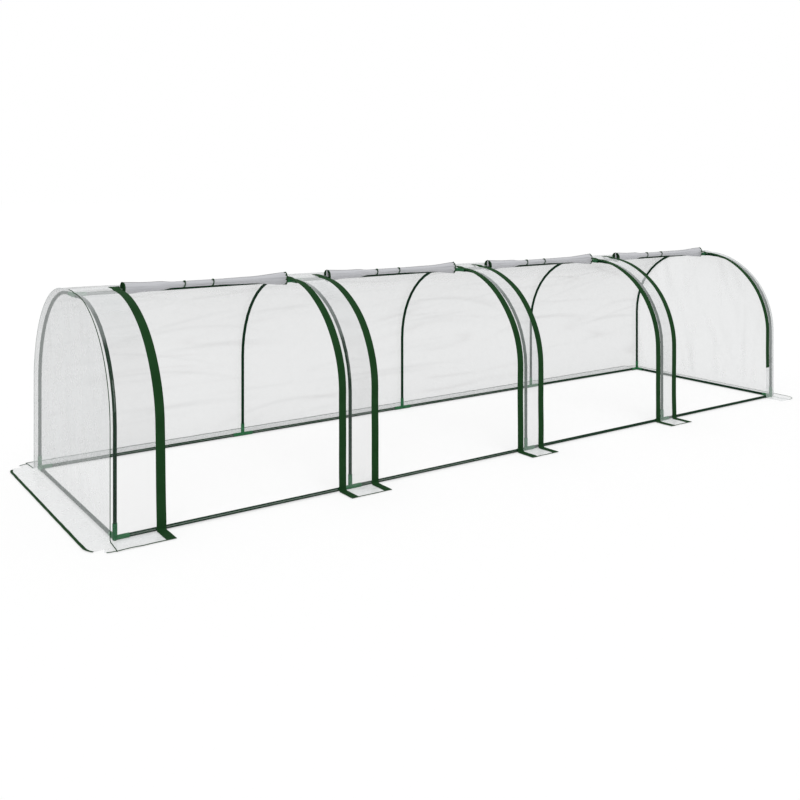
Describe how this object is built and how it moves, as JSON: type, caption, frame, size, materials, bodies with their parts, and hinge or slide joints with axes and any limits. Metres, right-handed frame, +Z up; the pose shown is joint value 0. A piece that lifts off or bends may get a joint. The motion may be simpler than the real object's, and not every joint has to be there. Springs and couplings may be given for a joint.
{
  "type": "tunnel greenhouse",
  "caption": "Low garden tunnel: arched dark green tube frame, clear film cover with ground skirts, green tapes, and front doors rolled up along the ridge.",
  "frame": {"origin": "on the ground under the middle of the tunnel, the bottom centre of the box round the whole part", "axes": "+X along the tunnel towards its right end as seen from the doors, -Y towards the door side, +Z up"},
  "size_m": [4.037, 1.2, 0.8354],
  "materials": {
    "film": "clear flexible film, slightly hazy, soft creases",
    "tape": "dark green woven tape, matt, sewn flat on the film",
    "tube": "dark green powder coat, half gloss, on thin steel tube",
    "connector": "moulded mid green plastic, slightly glossy",
    "rolled_film": "many turns of the same film, pale grey, soft sheen"
  },
  "bodies": {
    "greenhouse": {"apex_connector_1": "connector", "apex_connector_2": "connector", "apex_connector_3": "connector", "apex_connector_4": "connector", "apex_connector_5": "connector", "base_connector_back_1": "connector", "base_connector_back_2": "connector", "base_connector_back_3": "connector", "base_connector_back_4": "connector", "base_connector_back_5": "connector", "base_connector_front_1": "connector", "base_connector_front_2": "connector", "base_connector_front_3": "connector", "base_connector_front_4": "connector", "base_connector_front_5": "connector", "base_rail_back_1": "tube", "base_rail_back_2": "tube", "base_rail_back_3": "tube", "base_rail_back_4": "tube", "base_rail_front_1": "tube", "base_rail_front_2": "tube", "base_rail_front_3": "tube", "base_rail_front_4": "tube", "binding_1": "tape", "binding_2": "tape", "binding_3": "tape", "binding_4": "tape", "binding_5": "tape", "cover_back": "film", "cover_end_left": "film", "cover_end_right": "film", "cover_strip_1": "film", "cover_strip_2": "film", "cover_strip_3": "film", "cover_strip_4": "film", "cover_strip_5": "film", "end_rail_left": "tube", "end_rail_right": "tube", "hoop_1_back": "tube", "hoop_1_front": "tube", "hoop_2_back": "tube", "hoop_2_front": "tube", "hoop_3_back": "tube", "hoop_3_front": "tube", "hoop_4_back": "tube", "hoop_4_front": "tube", "hoop_5_back": "tube", "hoop_5_front": "tube", "ridge_tube_1": "tube", "ridge_tube_2": "tube", "ridge_tube_3": "tube", "ridge_tube_4": "tube"},
    "door_1_hanging": {"door_1_film": "film"},
    "door_1_rolled": {"door_1_roll": "rolled_film"},
    "door_2_hanging": {"door_2_film": "film"},
    "door_2_rolled": {"door_2_roll": "rolled_film"},
    "door_3_hanging": {"door_3_film": "film"},
    "door_3_rolled": {"door_3_roll": "rolled_film"},
    "door_4_hanging": {"door_4_film": "film"},
    "door_4_rolled": {"door_4_roll": "rolled_film"}
  },
  "joints": [
    {"name": "door_1_over_arch", "type": "hinge", "parent": "greenhouse", "child": "door_1_hanging", "pos_m": [0, -0.082, 0.385], "axis": [1, 0, 0], "range_deg": [0, 97.1]},
    {"name": "door_1_down_leg", "type": "slide", "parent": "door_1_hanging", "child": "door_1_rolled", "axis": [0, -0.9924, 0.1229], "range_m": [0, 0.36]},
    {"name": "door_2_over_arch", "type": "hinge", "parent": "greenhouse", "child": "door_2_hanging", "pos_m": [0, -0.082, 0.385], "axis": [1, 0, 0], "range_deg": [0, 97.1]},
    {"name": "door_2_down_leg", "type": "slide", "parent": "door_2_hanging", "child": "door_2_rolled", "axis": [0, -0.9924, 0.1229], "range_m": [0, 0.36]},
    {"name": "door_3_over_arch", "type": "hinge", "parent": "greenhouse", "child": "door_3_hanging", "pos_m": [0, -0.082, 0.385], "axis": [1, 0, 0], "range_deg": [0, 97.1]},
    {"name": "door_3_down_leg", "type": "slide", "parent": "door_3_hanging", "child": "door_3_rolled", "axis": [0, -0.9924, 0.1229], "range_m": [0, 0.36]},
    {"name": "door_4_over_arch", "type": "hinge", "parent": "greenhouse", "child": "door_4_hanging", "pos_m": [0, -0.082, 0.385], "axis": [1, 0, 0], "range_deg": [0, 97.1]},
    {"name": "door_4_down_leg", "type": "slide", "parent": "door_4_hanging", "child": "door_4_rolled", "axis": [0, -0.9924, 0.1229], "range_m": [0, 0.36]}
  ],
  "couplings": [
    {"joint": "door_1_down_leg", "follows": "door_1_over_arch", "m_per_rad": 0.2124},
    {"joint": "door_2_down_leg", "follows": "door_2_over_arch", "m_per_rad": 0.2124},
    {"joint": "door_3_down_leg", "follows": "door_3_over_arch", "m_per_rad": 0.2124},
    {"joint": "door_4_down_leg", "follows": "door_4_over_arch", "m_per_rad": 0.2124}
  ]
}
